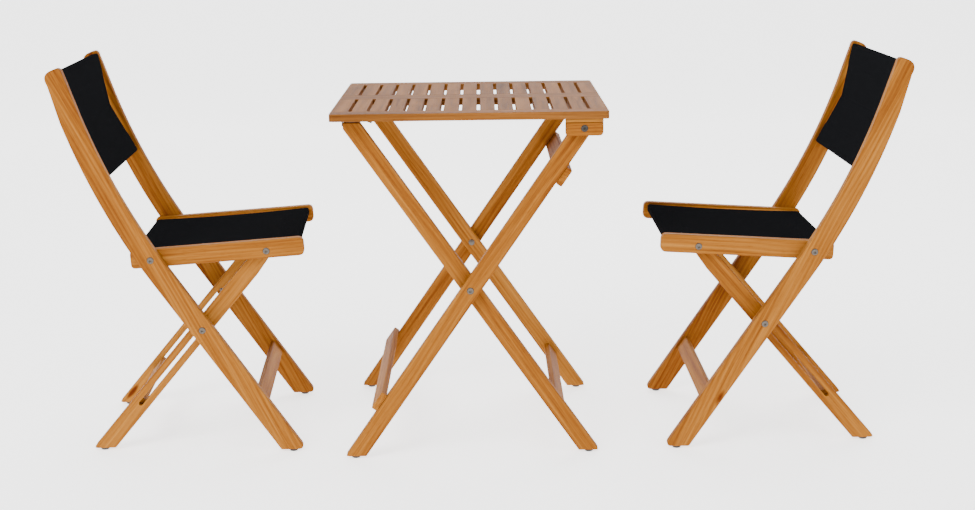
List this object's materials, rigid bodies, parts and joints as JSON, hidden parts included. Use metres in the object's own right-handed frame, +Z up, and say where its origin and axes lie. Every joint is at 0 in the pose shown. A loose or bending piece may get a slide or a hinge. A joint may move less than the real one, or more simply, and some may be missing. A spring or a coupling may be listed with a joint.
{
  "type": "folding patio dining set",
  "caption": "Folding slatted wooden bistro table with crossed legs, and folding wooden chairs with black mesh sling seats and backs.",
  "frame": {"origin": "on the floor, under the middle of the whole set's box", "axes": "+X from the left chair to the right chair, across the table; +Y from the near side to the far side; +Z up"},
  "size_m": [1.7672, 0.6, 0.8117],
  "materials": {
    "oiled_wood": "oiled hardwood, satin",
    "table_top_wood": "oiled hardwood, satin, a little greyer than the frame",
    "mesh_cloth": "fine black coated mesh",
    "steel": "plated steel bolts and barrel nuts",
    "black_steel": "blackened steel",
    "nylon": "black nylon glides"
  },
  "bodies": {
    "table_frame": {"table_outer_leg_near": "oiled_wood", "table_cross_bolt_near": "steel", "table_cleat_bolt_near": "black_steel", "table_outer_glide_near": "nylon", "table_outer_leg_far": "oiled_wood", "table_cross_bolt_far": "steel", "table_cleat_bolt_far": "black_steel", "table_outer_glide_far": "nylon", "table_upper_bar": "oiled_wood", "table_lower_bar": "oiled_wood"},
    "table_top": {"table_top": "table_top_wood", "table_cleat_near": "oiled_wood", "table_latch_near": "black_steel", "table_cleat_far": "oiled_wood", "table_latch_far": "black_steel"},
    "table_inner_legs": {"table_inner_leg_near": "oiled_wood", "table_inner_glide_near": "nylon", "table_inner_leg_far": "oiled_wood", "table_inner_glide_far": "nylon", "table_inner_stretcher": "oiled_wood"},
    "left_chair_frame": {"left_chair_back_top_bar": "oiled_wood", "left_chair_back_bottom_bar": "oiled_wood", "left_chair_front_stretcher": "oiled_wood", "left_chair_post_near": "oiled_wood", "left_chair_seat_bolt_near": "steel", "left_chair_post_glide_near": "nylon", "left_chair_post_far": "oiled_wood", "left_chair_seat_bolt_far": "steel", "left_chair_post_glide_far": "nylon", "left_chair_back_sling": "mesh_cloth"},
    "left_chair_seat": {"left_chair_seat_front_bar": "oiled_wood", "left_chair_seat_rear_bar": "oiled_wood", "left_chair_seat_rail_near": "oiled_wood", "left_chair_seat_rail_far": "oiled_wood", "left_chair_seat_sling": "mesh_cloth"},
    "left_chair_rear_legs": {"left_chair_rear_stretcher": "oiled_wood", "left_chair_rear_leg_near": "oiled_wood", "left_chair_rear_glide_near": "nylon", "left_chair_rear_leg_far": "oiled_wood", "left_chair_rear_glide_far": "nylon"},
    "right_chair_frame": {"right_chair_back_top_bar": "oiled_wood", "right_chair_back_bottom_bar": "oiled_wood", "right_chair_front_stretcher": "oiled_wood", "right_chair_post_far": "oiled_wood", "right_chair_seat_bolt_far": "steel", "right_chair_post_glide_far": "nylon", "right_chair_post_near": "oiled_wood", "right_chair_seat_bolt_near": "steel", "right_chair_post_glide_near": "nylon", "right_chair_back_sling": "mesh_cloth"},
    "right_chair_seat": {"right_chair_seat_front_bar": "oiled_wood", "right_chair_seat_rear_bar": "oiled_wood", "right_chair_seat_rail_far": "oiled_wood", "right_chair_seat_rail_near": "oiled_wood", "right_chair_seat_sling": "mesh_cloth"},
    "right_chair_rear_legs": {"right_chair_rear_stretcher": "oiled_wood", "right_chair_rear_leg_far": "oiled_wood", "right_chair_rear_glide_far": "nylon", "right_chair_rear_leg_near": "oiled_wood", "right_chair_rear_glide_near": "nylon"}
  },
  "joints": [
    {"name": "table_top_swing", "type": "hinge", "parent": "table_frame", "child": "table_top", "pos_m": [0.21544, 0, 0.6855], "axis": [0, 1, 0], "range_deg": [0, 124.7]},
    {"name": "table_leg_fold", "type": "hinge", "parent": "table_frame", "child": "table_inner_legs", "pos_m": [-0.01556, 0, 0.35353], "axis": [0, 1, 0], "range_deg": [0, 69.6]},
    {"name": "left_chair_move", "type": "slide", "parent": "table_frame", "child": "left_chair_frame", "axis": [1, 0, 0], "range_m": [-0.4, 0.1]},
    {"name": "left_chair_seat_fold", "type": "hinge", "parent": "left_chair_frame", "child": "left_chair_seat", "pos_m": [-0.68006, -0.013, 0.417], "axis": [0.0454, -0.999, 0], "range_deg": [0, 105.5]},
    {"name": "left_chair_leg_fold", "type": "hinge", "parent": "left_chair_seat", "child": "left_chair_rear_legs", "pos_m": [-0.4455, -0.00235, 0.42735], "axis": [-0.0454, 0.999, 0], "range_deg": [0, 40.6]},
    {"name": "right_chair_move", "type": "slide", "parent": "table_frame", "child": "right_chair_frame", "axis": [1, 0, 0], "range_m": [-0.1, 0.4]},
    {"name": "right_chair_seat_fold", "type": "hinge", "parent": "right_chair_frame", "child": "right_chair_seat", "pos_m": [0.68994, -0.013, 0.417], "axis": [0, 1, 0], "range_deg": [0, 105.5]},
    {"name": "right_chair_leg_fold", "type": "hinge", "parent": "right_chair_seat", "child": "right_chair_rear_legs", "pos_m": [0.45513, -0.013, 0.42735], "axis": [0, -1, 0], "range_deg": [0, 40.6]}
  ],
  "couplings": [
    {"joint": "table_leg_fold", "follows": "table_top_swing", "ratio": 0.55806},
    {"joint": "left_chair_leg_fold", "follows": "left_chair_seat_fold", "ratio": 0.38412},
    {"joint": "right_chair_leg_fold", "follows": "right_chair_seat_fold", "ratio": 0.38412}
  ]
}
